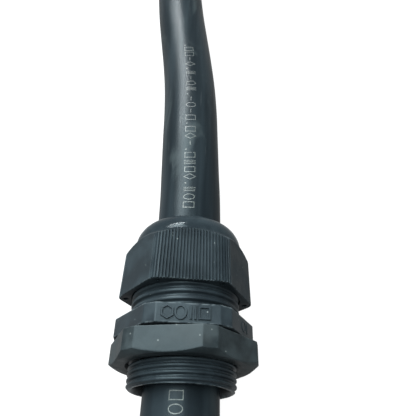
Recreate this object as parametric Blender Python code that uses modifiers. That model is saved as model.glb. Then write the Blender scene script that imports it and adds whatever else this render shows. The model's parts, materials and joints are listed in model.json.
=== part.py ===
"""A PG 25 cable gland, closed on a round two-core cable and lying on its side.

Units are metres, +Z is up and the table is z = 0. The gland's axis runs along
+Y, from the entry thread to the dome. Each gland piece is modelled upright,
with its own +Z along the gland's axis and z = 0 on the collar's seat face, and
is then laid down by the empty that it hangs on.
"""
import bpy
import bmesh
from math import cos, pi, radians, sin, tau
from mathutils import Vector

# ---- driving dimensions ----------------------------------------------------
ROUND_STEPS = 28            # segments round a full turn
RUN_GAP = 0.0003            # clearance between pieces
OVERRUN = 0.0010            # how far a cutter reaches past the piece that it cuts
TUCK = 0.0001               # how far one surface is set in so that two never coincide
SWING = radians(5)          # turn that keeps a cutter's facets off those of its piece

AXIS_HEIGHT = 0.01952       # the lock nut's and the collar's corners touch the table
SEAT_Y = -0.0110            # seat face, placed so that the gland is centred on the origin

ENTRY_R = 0.0150            # PG 25 thread: 30 mm outside, 16 turns to the inch
ENTRY_ROOT_R = 0.01424
ENTRY_PITCH = 0.0254 / 16
ENTRY_START = -0.0160       # where the entry thread's helix begins
ENTRY_TURNS = 11
ENTRY_LENGTH = 0.0133
ENTRY_LEAD = 0.0007         # chamfer on the thread's end
ENTRY_NECK_END = -0.0011    # the plain neck under the collar ends here
ENTRY_THREAD_FULL = -0.0018
ENTRY_BORE_R = 0.0126
RIM_R = 0.0135              # mouth of the bore at the rim
RIM_FLARE = 0.0012          # length of the bore's flare at the rim

UPPER_R = 0.0160            # thread for the sealing nut
UPPER_ROOT_R = 0.0151
UPPER_PITCH = 0.0022
UPPER_START = 0.0026
UPPER_TURNS = 8
UPPER_TOP = 0.0190
UPPER_LEAD = 0.0011
BLANK_GROW = 0.0002         # a thread's blank is this much wider than the thread
CUP_R = 0.0142              # seat of the clamping claw
CUP_FLOOR = 0.0060
CUP_STEP = 0.0008           # height of the cone between the cup and the bore

COLLAR_HEIGHT = 0.0054
COLLAR_CORNER_R = 0.01996
COLLAR_CORNER_HALF = radians(5.2)
COLLAR_PHASE = radians(12.7)
O_RING_POCKET = 0.0015      # depth of the pocket under the collar
COLLAR_OVERLAP = 0.0020     # how far the entry thread's root reaches into the collar

O_RING_R = 0.0159           # middle of the ring's section
O_RING_WIRE = 0.00065
O_RING_Z = 0.0005

LOCK_TOP = -0.0006
LOCK_BOTTOM = -0.0074
LOCK_CORNER_R = 0.02111
LOCK_CORNER_HALF = radians(5.6)
LOCK_PHASE = radians(-2.0)
LOCK_CONE_Z = -0.00625      # where the 30 degree chamfer meets the corners
LOCK_CONE_SLOPE = 0.577     # rise over run of a 30 degree cone
LOCK_MOUTH_R = 0.0159       # countersinks at both ends of the lock nut's thread
LOCK_SINK = 0.0013

NUT_BOTTOM = 0.0121
NUT_SHOULDER = 0.0280       # the chamfer's edge in the middle of a side
NUT_CORNER_Z = 0.0262       # the chamfer's edge at a corner
NUT_FLAT_R = 0.0178         # half of the size across flats, at the bottom
NUT_SHOULDER_R = 0.0174     # and at the shoulder, because the sides have a draft
NUT_CORNER_ROUND = 0.0036
NUT_PHASE = radians(13.4)
NUT_CAP = 0.0020            # height of the stock that the chamfer and the dome replace
RIB_DEPTH = 0.00035
RIBS_ON_FLAT = 18
RIBS_ON_CORNER = 4
RIB_FORM = [(0.0, 0.0), (0.40, 0.0), (0.52, 1.0), (0.88, 1.0)]      # (share of the pitch, depth)
NUT_MOUTH_R = 0.0150        # chamfer where the sealing nut's thread begins
NUT_MOUTH_DEPTH = 0.0013
NUT_MOUTH_FLARE = 0.0023
NUT_THREAD_SKIP = 3         # the nut's thread begins this many turns up the body's
NUT_THREAD_TURNS = 4
NUT_THREAD_RELIEF = [(0.0165, 0.0206), (0.0165, 0.0177), (0.0152, 0.0171)]
NUT_BORE_R = 0.0152
DOME_TOP = 0.0353
DOME_ROOT = 0.0240          # the dome's shell reaches down to here inside the sides
DOME_INSIDE_BASE = (0.0157, 0.0262)
DOME_INSIDE_TOP = 0.0335
DOME_INSIDE_LOW = 0.0212
MOUTH_R = 0.0108
DOME_LIP_R = 0.01115
CORNER_HOLE_R = 0.00085
CORNER_HOLE_AT = 0.0179
CORNER_HOLE_DEPTH = 0.0080

CLAW_FINGERS = 12
CLAW_SLOT = 0.0010
CLAW_R = 0.0139
CLAW_IN_R = 0.0131
CLAW_BOTTOM = 0.0080
CLAW_FLANGE_R = 0.0153
CLAW_FLANGE = 0.0013        # thickness of the flange under the fingers
CLAW_SHOULDER = 0.0262      # the fingers begin to lean in here
CLAW_LEAN_TO = (0.0104, 0.0331)
CLAW_LEAN_POINTS = 9        # points on the whole oval, of which the fingers take the first five
CLAW_LEAN_KEPT = 5
CLAW_TIP_THICK = 0.0009
CLAW_INNER_TOP = 0.0245
SLOT_LENGTH = 0.0150
SLOT_REACH = 0.0400

CABLE_R = 0.01045
SLEEVE_BORE_R = 0.0108
SLEEVE_OUTLINE = [          # (radius, z) down its outer side
    (0.0113, 0.0300), (0.0122, 0.0272), (0.0128, 0.0240), (0.0128, 0.0085),
    (0.0114, 0.0080), (SLEEVE_BORE_R, 0.0088), (SLEEVE_BORE_R, 0.0296)]
CORE_R = 0.00305
CORE_OFFSET = 0.0034        # from the cable's middle to a core's
CONDUCTOR_R = 0.00185
CONDUCTOR_CHAMFER = 0.0003
FILLER_R = 0.0076
FILLER_HEIGHT = 0.0035      # how far it stands out of the sheath's cut end
FILLER_CHAMFER = 0.0004
TAPE_R = 0.0083
TAPE_HEIGHT = 0.0025
CORE_LENGTH = 0.0160
CONDUCTOR_LENGTH = 0.0080
CABLE_SPACING = 0.0150      # between the stations of the cable's tube
FILLER_STEPS = 24           # segments round the thinner pieces at the cable's ends
CORE_STEPS = 16
CONDUCTOR_STEPS = 12

LYING = CABLE_R             # height of the cable's middle where it lies on the table

# The cable's middle line: out of the gland, up a little, then down on to the table.
OUTER_ROUTE = [
    (0.0, 0.0010, AXIS_HEIGHT),
    (0.0, 0.0190, AXIS_HEIGHT),
    (-0.0002, 0.0370, AXIS_HEIGHT),
    (-0.0006, 0.0490, AXIS_HEIGHT + 0.0005),
    (-0.0010, 0.0640, AXIS_HEIGHT + 0.0015),
    (-0.0015, 0.0790, AXIS_HEIGHT + 0.0020),
    (-0.0025, 0.0940, AXIS_HEIGHT + 0.0022),
    (-0.0041, 0.1090, AXIS_HEIGHT + 0.0028),
    (-0.0060, 0.1240, AXIS_HEIGHT + 0.0038),
    (-0.0078, 0.1390, AXIS_HEIGHT + 0.0050),
    (-0.0092, 0.1540, AXIS_HEIGHT + 0.0060),
    (-0.0103, 0.1690, AXIS_HEIGHT + 0.0064),
    (-0.0113, 0.1840, AXIS_HEIGHT + 0.0057),
    (-0.0121, 0.1990, AXIS_HEIGHT + 0.0038),
    (-0.0126, 0.2140, AXIS_HEIGHT + 0.0010),
    (-0.0130, 0.2290, AXIS_HEIGHT - 0.0024),
    (-0.0133, 0.2440, AXIS_HEIGHT - 0.0056),
    (-0.0135, 0.2590, LYING + 0.0013),
    (-0.0136, 0.2740, LYING + 0.0003),
    (-0.0137, 0.2890, LYING),
]
INNER_ROUTE = [
    (0.0, 0.0007, AXIS_HEIGHT),
    (0.0, -0.0200, AXIS_HEIGHT),
    (0.0, -0.0410, AXIS_HEIGHT),
    (0.0002, -0.0560, AXIS_HEIGHT - 0.0010),
    (0.0006, -0.0710, AXIS_HEIGHT - 0.0032),
    (0.0012, -0.0860, AXIS_HEIGHT - 0.0059),
    (0.0020, -0.1010, AXIS_HEIGHT - 0.0081),
    (0.0029, -0.1160, LYING),
    (0.0039, -0.1300, LYING),
]

THREAD_FORM = [(0.0, 0.0), (0.0, 0.15), (1.0, 0.40), (1.0, 0.75), (0.0, 1.0)]    # (depth, pitch)
UP = radians(-90)           # the row's +Z, seen in a gland piece's own XY plane


# ---- helpers ---------------------------------------------------------------
def clear_scene():
    for obj in list(bpy.data.objects):
        bpy.data.objects.remove(obj, do_unlink=True)


def new_collection(name):
    made = bpy.data.collections.new(name)
    bpy.context.scene.collection.children.link(made)
    return made


def new_material(name, colour, roughness, metallic=0.0):
    made = bpy.data.materials.new(name)
    made.use_nodes = True
    shader = made.node_tree.nodes["Principled BSDF"]
    shader.inputs["Base Color"].default_value = (*colour, 1.0)
    shader.inputs["Roughness"].default_value = roughness
    shader.inputs["Metallic"].default_value = metallic
    made.diffuse_color = (*colour, 1.0)
    return made


def place(obj, parent, material=None, cutter=False):
    """Link an object as a piece or as a cutter, and hang it on its empty."""
    (cutters if cutter else pieces).objects.link(obj)
    obj.parent = parent
    if cutter:
        obj.hide_render = True
        obj.display_type = "WIRE"
    else:
        obj.data.materials.append(material)
    return obj


def object_from(name, bm):
    bmesh.ops.recalc_face_normals(bm, faces=bm.faces)
    mesh = bpy.data.meshes.new(name)
    bm.to_mesh(mesh)
    bm.free()
    return bpy.data.objects.new(name, mesh)


def shade(obj, angle=35):
    """Round pieces are smooth, with sharp edges where they turn a corner."""
    obj.data.shade_smooth()
    obj.data.set_sharp_from_angle(angle=radians(angle))


def turned(name, outline, steps=ROUND_STEPS, swing=0.0):
    """A solid of revolution about Z, from a closed loop of (radius, z)."""
    bm = bmesh.new()
    verts = [bm.verts.new((r, 0.0, z)) for r, z in outline]
    for a, b in zip(verts, verts[1:] + verts[:1]):
        if a.co.x > 0 or b.co.x > 0:
            bm.edges.new((a, b))
    mesh = bpy.data.meshes.new(name)
    bm.to_mesh(mesh)
    bm.free()
    obj = bpy.data.objects.new(name, mesh)
    screw = obj.modifiers.new("turn", "SCREW")
    screw.axis = "Z"
    screw.steps = steps
    screw.render_steps = steps
    screw.use_merge_vertices = True
    screw.merge_threshold = 0.00001
    screw.use_smooth_shade = True
    obj.rotation_euler.z = swing
    return obj


def prism(name, outline, low, high, top_scale=1.0):
    """A flat outline of (x, y) drawn up from z = low to z = high, and drawn in by a scale."""
    bm = bmesh.new()
    face = bm.faces.new([bm.verts.new((x, y, low)) for x, y in outline])
    grown = bmesh.ops.extrude_face_region(bm, geom=[face])
    top = [item for item in grown["geom"] if isinstance(item, bmesh.types.BMVert)]
    bmesh.ops.translate(bm, verts=top, vec=(0, 0, high - low))
    bmesh.ops.scale(bm, verts=top, vec=(top_scale, top_scale, 1.0))
    return object_from(name, bm)


def threaded_rod(name, crest_r, root_r, pitch, start, turns):
    """A closed right-hand threaded rod, longer than the thread that is cut from it."""
    bm = bmesh.new()
    verts = [bm.verts.new((root_r + (crest_r - root_r) * depth, 0.0, start + part * pitch))
             for depth, part in THREAD_FORM]
    edges = [bm.edges.new(pair) for pair in zip(verts, verts[1:])]
    bmesh.ops.spin(bm, geom=verts + edges, cent=(0, 0, 0), axis=(0, 0, 1), angle=tau * turns,
                   steps=ROUND_STEPS * turns, dvec=(0, 0, pitch / ROUND_STEPS))
    bmesh.ops.remove_doubles(bm, verts=bm.verts, dist=0.000002)
    rims = [edge for edge in bm.edges if edge.is_boundary]
    middle = start + pitch * (turns + 1) / 2
    for low_end in (True, False):
        ring = [e for e in rims if (e.verts[0].co.z + e.verts[1].co.z < 2 * middle) == low_end]
        height = start if low_end else start + pitch * (turns + 1)
        hub = bm.verts.new((0, 0, height))
        for edge in ring:
            bm.faces.new((edge.verts[0], edge.verts[1], hub))
    return object_from(name, bm)


def cut_hexagon(corner_r, corner_half, phase):
    """A hexagon whose corners are cut off flat: two points at each corner."""
    outline = []
    for side in range(6):
        corner = UP + phase + radians(30 + 60 * side)
        for angle in (corner - corner_half, corner + corner_half):
            outline.append((corner_r * cos(angle), corner_r * sin(angle)))
    return outline


def ribbed_hexagon():
    """The sealing nut's outline: three sides ribbed right round both corners,
    between three plain sides."""
    centre_r = (NUT_FLAT_R - NUT_CORNER_ROUND) / cos(radians(30))
    half_flat = centre_r * sin(radians(30))
    outline = []

    def add(x, y, turn):
        outline.append((x * cos(turn) - y * sin(turn), x * sin(turn) + y * cos(turn)))

    def add_corner(turn, sign, middle):
        for rib in range(RIBS_ON_CORNER):
            for along, depth in RIB_FORM:
                swing = radians(60) * (rib + along) / RIBS_ON_CORNER - radians(60) * middle
                reach = NUT_CORNER_ROUND - depth * RIB_DEPTH
                hub = (NUT_FLAT_R - NUT_CORNER_ROUND, sign * half_flat)
                add(hub[0] + reach * cos(swing), hub[1] + reach * sin(swing), turn)

    for panel in range(3):
        turn = UP + NUT_PHASE + radians(120 * panel)
        add_corner(turn, -1, 1)
        for rib in range(RIBS_ON_FLAT):
            for along, depth in RIB_FORM:
                y = half_flat * (2 * (rib + along) / RIBS_ON_FLAT - 1)
                add(NUT_FLAT_R - depth * RIB_DEPTH, y, turn)
        add_corner(turn, 1, 0)
        end = radians(60)
        add(NUT_FLAT_R - NUT_CORNER_ROUND + NUT_CORNER_ROUND * cos(end),
            half_flat + NUT_CORNER_ROUND * sin(end), turn)
    return outline


def quarter_oval(low, high, points=7):
    """Points of (radius, z) along a quarter of an oval, from its base to its top."""
    (base_r, base_z), (top_r, top_z) = low, high
    swings = [pi / 2 * step / (points - 1) for step in range(points)]
    return [(top_r + (base_r - top_r) * cos(a), base_z + (top_z - base_z) * sin(a)) for a in swings]


def combine(obj, operation, other):
    step = obj.modifiers.new(f"{operation.lower()} {other.name}", "BOOLEAN")
    step.operation = operation
    step.solver = "EXACT"
    step.object = other


def smooth_points(route, spacing):
    """Evenly spaced points on a Catmull-Rom curve through the route's points."""
    knots = [Vector(p) for p in route]
    knots = [2 * knots[0] - knots[1], *knots, 2 * knots[-1] - knots[-2]]
    fine = []
    for a, b, c, d in zip(knots, knots[1:], knots[2:], knots[3:]):
        for step in range(20):
            t = step / 20
            fine.append(0.5 * (2 * b + (c - a) * t + (2 * a - 5 * b + 4 * c - d) * t * t
                               + (3 * b - 3 * c + d - a) * t * t * t))
    fine.append(knots[-2])
    lengths = [(q - p).length for p, q in zip(fine, fine[1:])]
    count = max(2, round(sum(lengths) / spacing))
    out, walked, index = [fine[0]], 0.0, 0
    for k in range(1, count):
        target = sum(lengths) * k / count
        while walked + lengths[index] < target:
            walked += lengths[index]
            index += 1
        out.append(fine[index].lerp(fine[index + 1], (target - walked) / lengths[index]))
    out.append(fine[-1])
    return out


# ---- the gland's pieces ----------------------------------------------------
def make_body(axis, material):
    body = place(prism("gland_body", cut_hexagon(COLLAR_CORNER_R, COLLAR_CORNER_HALF, COLLAR_PHASE),
                       0.0, COLLAR_HEIGHT), axis, material)
    pocket_r = O_RING_R + O_RING_WIRE + RUN_GAP
    pocket = turned("o_ring_pocket", [(0, O_RING_POCKET), (pocket_r, O_RING_POCKET),
                                      (pocket_r, -OVERRUN), (0, -OVERRUN)])

    entry = threaded_rod("entry_thread", ENTRY_R, ENTRY_ROOT_R, ENTRY_PITCH, ENTRY_START, ENTRY_TURNS)
    neck_r = ENTRY_ROOT_R - TUCK
    entry_blank = turned("entry_blank", [
        (0, COLLAR_OVERLAP), (neck_r, COLLAR_OVERLAP), (neck_r, ENTRY_NECK_END),
        (ENTRY_R + BLANK_GROW, ENTRY_THREAD_FULL),
        (ENTRY_R + BLANK_GROW, -ENTRY_LENGTH + ENTRY_LEAD + BLANK_GROW),
        (ENTRY_R - ENTRY_LEAD, -ENTRY_LENGTH), (0, -ENTRY_LENGTH)])
    combine(entry, "INTERSECT", entry_blank)

    upper = threaded_rod("upper_thread", UPPER_R, UPPER_ROOT_R, UPPER_PITCH, UPPER_START, UPPER_TURNS)
    upper_foot = COLLAR_HEIGHT - RUN_GAP
    upper_blank = turned("upper_blank", [
        (0, UPPER_TOP), (UPPER_ROOT_R, UPPER_TOP), (UPPER_R + BLANK_GROW, UPPER_TOP - UPPER_LEAD),
        (UPPER_R + BLANK_GROW, upper_foot), (0, upper_foot)])
    combine(upper, "INTERSECT", upper_blank)

    bore = turned("body_bore", [
        (0, UPPER_TOP + OVERRUN), (CUP_R, UPPER_TOP + OVERRUN), (CUP_R, CUP_FLOOR),
        (ENTRY_BORE_R, CUP_FLOOR - CUP_STEP), (ENTRY_BORE_R, RIM_FLARE - ENTRY_LENGTH),
        (RIM_R, -ENTRY_LENGTH), (RIM_R, -ENTRY_LENGTH - OVERRUN), (0, -ENTRY_LENGTH - OVERRUN)])
    for cutter in (pocket, entry, entry_blank, upper, upper_blank, bore):
        place(cutter, axis, cutter=True)
    combine(body, "DIFFERENCE", pocket)
    combine(body, "UNION", entry)
    combine(body, "UNION", upper)
    combine(body, "DIFFERENCE", bore)
    shade(body)
    return body


def make_o_ring(axis, material):
    bpy.ops.mesh.primitive_torus_add(
        major_radius=O_RING_R, minor_radius=O_RING_WIRE,
        major_segments=ROUND_STEPS, minor_segments=8, location=(0, 0, 0))
    ring = bpy.context.object
    ring.name = "seat_o_ring"
    for holder in list(ring.users_collection):
        holder.objects.unlink(ring)
    place(ring, axis, material)
    ring.location.z = O_RING_Z
    ring.data.shade_smooth()
    return ring


def make_lock_nut(axis, material):
    nut = place(prism("lock_nut", cut_hexagon(LOCK_CORNER_R, LOCK_CORNER_HALF, LOCK_PHASE),
                      LOCK_BOTTOM, LOCK_TOP), axis, material)
    wide = LOCK_CORNER_R + 3 * OVERRUN
    narrow = LOCK_CORNER_R - 4 * OVERRUN

    def cone_z(radius):
        return LOCK_CONE_Z + (radius - LOCK_CORNER_R) * LOCK_CONE_SLOPE

    cone = turned("lock_nut_cone", [(0, 0), (wide, 0), (wide, cone_z(wide)), (narrow, cone_z(narrow)),
                                    (0, LOCK_BOTTOM - OVERRUN)])
    thread = threaded_rod("lock_nut_thread", ENTRY_R + RUN_GAP, ENTRY_ROOT_R + RUN_GAP,
                          ENTRY_PITCH, ENTRY_START, ENTRY_TURNS)
    countersinks = []
    for name, face, way in (("lock_nut_top_sink", LOCK_TOP, 1), ("lock_nut_low_sink", LOCK_BOTTOM, -1)):
        outer = face + way * LOCK_SINK
        inner = face - way * LOCK_SINK
        outline = [(0, outer), (LOCK_MOUTH_R + LOCK_SINK, outer), (LOCK_MOUTH_R - LOCK_SINK, inner),
                   (0, inner)]
        countersinks.append(turned(name, outline if way > 0 else outline[::-1], swing=SWING))
    for cutter in (cone, thread, *countersinks):
        place(cutter, axis, cutter=True)
    combine(nut, "INTERSECT", cone)
    for cutter in (thread, *countersinks):
        combine(nut, "DIFFERENCE", cutter)
    shade(nut)
    return nut


def make_sealing_nut(axis, material):
    draft = (NUT_FLAT_R - NUT_SHOULDER_R) / (NUT_SHOULDER - NUT_BOTTOM)
    top = NUT_SHOULDER + NUT_CAP
    top_scale = 1 - draft * (top - NUT_BOTTOM) / NUT_FLAT_R
    nut = place(prism("sealing_nut", ribbed_hexagon(), NUT_BOTTOM, top, top_scale), axis, material)
    corner_r = NUT_CORNER_ROUND + (NUT_FLAT_R - NUT_CORNER_ROUND) / cos(radians(30))
    corner_r -= draft * (NUT_CORNER_Z - NUT_BOTTOM)
    slope = (NUT_SHOULDER - NUT_CORNER_Z) / (corner_r - NUT_SHOULDER_R)
    wide = NUT_SHOULDER_R + 6 * OVERRUN
    narrow = NUT_SHOULDER_R - 2 * OVERRUN

    def cone_z(radius):
        return NUT_SHOULDER - (radius - NUT_SHOULDER_R) * slope

    cone = turned("sealing_nut_cone", [
        (0, cone_z(narrow)), (narrow, cone_z(narrow)), (wide, cone_z(wide)),
        (wide, NUT_BOTTOM - OVERRUN), (0, NUT_BOTTOM - OVERRUN)], swing=SWING)
    dome_base_r = NUT_SHOULDER_R - RIB_DEPTH - TUCK
    shell = quarter_oval((dome_base_r, NUT_SHOULDER - 2 * TUCK), (DOME_LIP_R, DOME_TOP), 8)
    dome = turned("dome", [(0, DOME_TOP)] + shell[::-1] + [(dome_base_r, DOME_ROOT), (0, DOME_ROOT)])

    shell_inside = quarter_oval(DOME_INSIDE_BASE, (MOUTH_R, DOME_INSIDE_TOP), 6)
    hollow = turned("sealing_nut_hollow", [
        (0, DOME_TOP + OVERRUN), (MOUTH_R + 2 * TUCK, DOME_TOP + OVERRUN), (MOUTH_R, DOME_TOP - 6 * TUCK)]
        + shell_inside[::-1] + [(DOME_INSIDE_BASE[0], DOME_INSIDE_LOW)] + NUT_THREAD_RELIEF
        + [(NUT_BORE_R, NUT_BOTTOM - OVERRUN), (0, NUT_BOTTOM - OVERRUN)])
    thread = threaded_rod("sealing_nut_thread", UPPER_R + RUN_GAP, UPPER_ROOT_R + RUN_GAP, UPPER_PITCH,
                          UPPER_START + NUT_THREAD_SKIP * UPPER_PITCH, NUT_THREAD_TURNS)
    mouth = turned("sealing_nut_mouth", [
        (0, NUT_BOTTOM + NUT_MOUTH_DEPTH), (NUT_MOUTH_R, NUT_BOTTOM + NUT_MOUTH_DEPTH),
        (NUT_MOUTH_R + NUT_MOUTH_FLARE, NUT_BOTTOM - OVERRUN), (0, NUT_BOTTOM - OVERRUN)], swing=SWING)

    bm = bmesh.new()
    for side in range(6):
        angle = UP + NUT_PHASE + radians(30 + 60 * side)
        made = bmesh.ops.create_cone(bm, cap_ends=True, segments=8, radius1=CORNER_HOLE_R,
                                     radius2=CORNER_HOLE_R, depth=2 * CORNER_HOLE_DEPTH)
        bmesh.ops.translate(bm, verts=made["verts"], vec=(
            CORNER_HOLE_AT * cos(angle), CORNER_HOLE_AT * sin(angle), NUT_BOTTOM))
    holes = object_from("corner_holes", bm)

    for cutter in (cone, dome, hollow, thread, mouth, holes):
        place(cutter, axis, cutter=True)
    combine(nut, "INTERSECT", cone)
    combine(nut, "UNION", dome)
    for cutter in (hollow, thread, mouth, holes):
        combine(nut, "DIFFERENCE", cutter)
    shade(nut)
    return nut


def make_claw(axis, material):
    """The fingered insert: a ring in the body's cup, a flange on its end, and
    fingers that lean in under the dome."""
    flange_z = UPPER_TOP + RUN_GAP
    outside = quarter_oval((CLAW_FLANGE_R, CLAW_SHOULDER), CLAW_LEAN_TO, CLAW_LEAN_POINTS)
    outside = outside[:CLAW_LEAN_KEPT]
    tip_r, tip_z = outside[-1]
    outline = outside[::-1] + [
        (CLAW_FLANGE_R, flange_z), (CLAW_R, flange_z), (CLAW_R, CLAW_BOTTOM),
        (CLAW_IN_R, CLAW_BOTTOM), (CLAW_IN_R, CLAW_INNER_TOP), (tip_r - CLAW_TIP_THICK, tip_z)]
    claw = place(turned("clamping_claw", outline), axis, material)
    bm = bmesh.new()
    for finger in range(CLAW_FINGERS // 2):
        made = bmesh.ops.create_cube(bm, size=1.0)
        bmesh.ops.scale(bm, verts=made["verts"], vec=(SLOT_REACH, CLAW_SLOT, SLOT_LENGTH))
        bmesh.ops.translate(bm, verts=made["verts"], vec=(
            0, 0, flange_z + CLAW_FLANGE + SLOT_LENGTH / 2))
        turn = pi * (finger + 0.5) / (CLAW_FINGERS // 2)
        for vert in made["verts"]:
            x, y = vert.co.x, vert.co.y
            vert.co.x = x * cos(turn) - y * sin(turn)
            vert.co.y = x * sin(turn) + y * cos(turn)
    slots = object_from("claw_slots", bm)
    place(slots, axis, cutter=True)
    step = claw.modifiers.new("slots", "BOOLEAN")
    step.operation = "DIFFERENCE"
    step.solver = "EXACT"
    step.use_self = True
    step.object = slots
    shade(claw)
    return claw


def make_sleeve(axis, material):
    return place(turned("sealing_sleeve", SLEEVE_OUTLINE), axis, material)


# ---- the cable's pieces ----------------------------------------------------
def make_cable(name, route, material):
    """A plain tube along the route, closed at both ends."""
    points = smooth_points(route, CABLE_SPACING)
    curve = bpy.data.curves.new(name, "CURVE")
    curve.dimensions = "3D"
    curve.bevel_depth = CABLE_R
    curve.bevel_resolution = 4
    curve.use_fill_caps = True
    spline = curve.splines.new("POLY")
    spline.points.add(len(points) - 1)
    for point, place_at in zip(spline.points, points):
        point.co = (*place_at, 1.0)
    cable = bpy.data.objects.new(name, curve)
    place(cable, None, material)
    return points[-1], (points[-1] - points[-2]).normalized()


def cable_end_piece(name, made, seat, material):
    place(made, seat, material)
    made.name = name


def make_cable_end(side, tip, direction, slots):
    """What stands out of the cut sheath: filling, tape, two cores and their wires."""
    seat = bpy.data.objects.new(f"{side}_cable_end", None)
    seat.location = tip
    seat.rotation_mode = "QUATERNION"
    seat.rotation_quaternion = direction.to_track_quat("Z", "X")
    pieces.objects.link(seat)

    low = RUN_GAP
    filler = turned(f"{side}_filler", [
        (0, FILLER_HEIGHT), (FILLER_R - FILLER_CHAMFER, FILLER_HEIGHT),
        (FILLER_R, FILLER_HEIGHT - FILLER_CHAMFER), (FILLER_R, low), (0, low)], FILLER_STEPS)
    cable_end_piece(f"{side}_filler", filler, seat, slots["filler"])
    bm = bmesh.new()
    for way in (-1, 1):
        made = bmesh.ops.create_cone(bm, cap_ends=True, segments=CORE_STEPS, radius1=CORE_R + RUN_GAP,
                                     radius2=CORE_R + RUN_GAP, depth=2 * CORE_LENGTH)
        bmesh.ops.translate(bm, verts=made["verts"], vec=(0, way * CORE_OFFSET, 0))
    holes = place(object_from(f"{side}_core_holes", bm), seat, cutter=True)
    combine(filler, "DIFFERENCE", holes)

    tape_in = FILLER_R + RUN_GAP
    tape = turned(f"{side}_binder_tape", [(TAPE_R, TAPE_HEIGHT), (TAPE_R, low), (tape_in, low),
                                          (tape_in, TAPE_HEIGHT)], FILLER_STEPS)
    cable_end_piece(f"{side}_binder_tape", tape, seat, slots["tape"])

    wire_foot = CORE_LENGTH + RUN_GAP
    wire_top = wire_foot + CONDUCTOR_LENGTH
    for number, (colour, way) in enumerate((("black", -1), ("white", 1)), 1):
        core = turned(f"{side}_core_{colour}", [
            (0, CORE_LENGTH), (CORE_R, CORE_LENGTH), (CORE_R, low), (0, low)], CORE_STEPS)
        core.location.y = way * CORE_OFFSET
        cable_end_piece(f"{side}_core_{colour}", core, seat, slots[f"core_{colour}"])
        wire = turned(f"{side}_conductor_{number}", [
            (0, wire_top), (CONDUCTOR_R - CONDUCTOR_CHAMFER, wire_top),
            (CONDUCTOR_R, wire_top - CONDUCTOR_CHAMFER), (CONDUCTOR_R, wire_foot), (0, wire_foot)],
            CONDUCTOR_STEPS)
        wire.location.y = way * CORE_OFFSET
        cable_end_piece(f"{side}_conductor_{number}", wire, seat, slots["copper"])


# ---- the assembly ----------------------------------------------------------
def main():
    axis = bpy.data.objects.new("gland_axis", None)
    axis.location = (0, SEAT_Y, AXIS_HEIGHT)
    axis.rotation_euler = (radians(-90), 0, 0)
    pieces.objects.link(axis)

    nylon = new_material("black_nylon", (0.045, 0.055, 0.060), 0.50)
    gloss = new_material("black_nylon_gloss", (0.035, 0.042, 0.047), 0.30)
    rubber = new_material("seal_rubber", (0.020, 0.021, 0.022), 0.60)
    claw_nylon = new_material("claw_nylon", (0.050, 0.055, 0.060), 0.45)
    sheath = new_material("cable_sheath", (0.030, 0.036, 0.040), 0.42)
    slots = {
        "filler": new_material("filler_rubber", (0.060, 0.060, 0.060), 0.70),
        "tape": new_material("binder_tape", (0.600, 0.570, 0.480), 0.80),
        "core_black": new_material("core_black", (0.020, 0.020, 0.020), 0.40),
        "core_white": new_material("core_white", (0.750, 0.740, 0.700), 0.40),
        "copper": new_material("copper", (0.720, 0.360, 0.200), 0.35, 1.0),
    }

    make_body(axis, nylon)
    make_o_ring(axis, rubber)
    make_lock_nut(axis, nylon)
    make_sealing_nut(axis, gloss)
    make_claw(axis, claw_nylon)
    make_sleeve(axis, rubber)
    for side, route in (("outer", OUTER_ROUTE), ("inner", INNER_ROUTE)):
        tip, direction = make_cable(f"cable_{side}", route, sheath)
        make_cable_end(side, tip, direction, slots)


clear_scene()
pieces = new_collection("cable gland")
cutters = new_collection("cutters")
main()
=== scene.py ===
"""Looks for a PG 25 cable gland that lies on its side, closed on a round two-core cable.

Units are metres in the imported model's frame: +Y runs along the gland's axis from the
entry thread to the dome, and +Z is up. Along the gland, places are measured from the
collar's seat face, and angles from +Z towards +X.
"""

import json
from collections import namedtuple
from math import atan2, ceil, cos, exp, hypot, pi, radians, sin, tan, tau
from random import Random

import bmesh
import bpy
from mathutils import Matrix, Vector, noise


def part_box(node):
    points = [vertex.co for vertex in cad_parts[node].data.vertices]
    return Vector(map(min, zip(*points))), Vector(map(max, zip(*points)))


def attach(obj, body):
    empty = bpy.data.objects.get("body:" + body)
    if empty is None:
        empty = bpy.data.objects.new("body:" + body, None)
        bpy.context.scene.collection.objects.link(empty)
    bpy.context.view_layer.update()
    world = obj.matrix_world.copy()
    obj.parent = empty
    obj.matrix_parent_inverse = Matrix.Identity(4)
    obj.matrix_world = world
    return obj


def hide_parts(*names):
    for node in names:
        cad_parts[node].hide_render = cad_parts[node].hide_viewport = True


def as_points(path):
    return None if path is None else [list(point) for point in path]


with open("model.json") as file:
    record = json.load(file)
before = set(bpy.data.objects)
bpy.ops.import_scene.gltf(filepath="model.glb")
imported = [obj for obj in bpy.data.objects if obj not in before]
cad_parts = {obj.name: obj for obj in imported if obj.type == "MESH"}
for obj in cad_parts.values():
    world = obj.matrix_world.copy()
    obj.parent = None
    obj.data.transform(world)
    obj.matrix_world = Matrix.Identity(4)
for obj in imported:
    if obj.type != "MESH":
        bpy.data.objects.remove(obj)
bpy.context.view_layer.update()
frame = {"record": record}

# ---- dimensions ----
SEAT = next(Vector(m["pos_m"]) for m in frame["record"]["mounts"] if m["name"] == "panel_seat")
GAP = 0.0003                # clearance between the CAD model's pieces


def span(node):
    """Where a CAD node starts and ends along the gland, from the seat face."""
    low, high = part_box(node)
    return low.y - SEAT.y, high.y - SEAT.y


ENTRY_END, UPPER_TOP = span("gland_body")
LOCK_LOW, LOCK_TOP = span("lock_nut")
NUT_LOW, DOME_TOP = span("sealing_nut")
CLAW_LOW, CLAW_TOP = span("clamping_claw")
SLEEVE_LOW, SLEEVE_TOP = span("sealing_sleeve")

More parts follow.
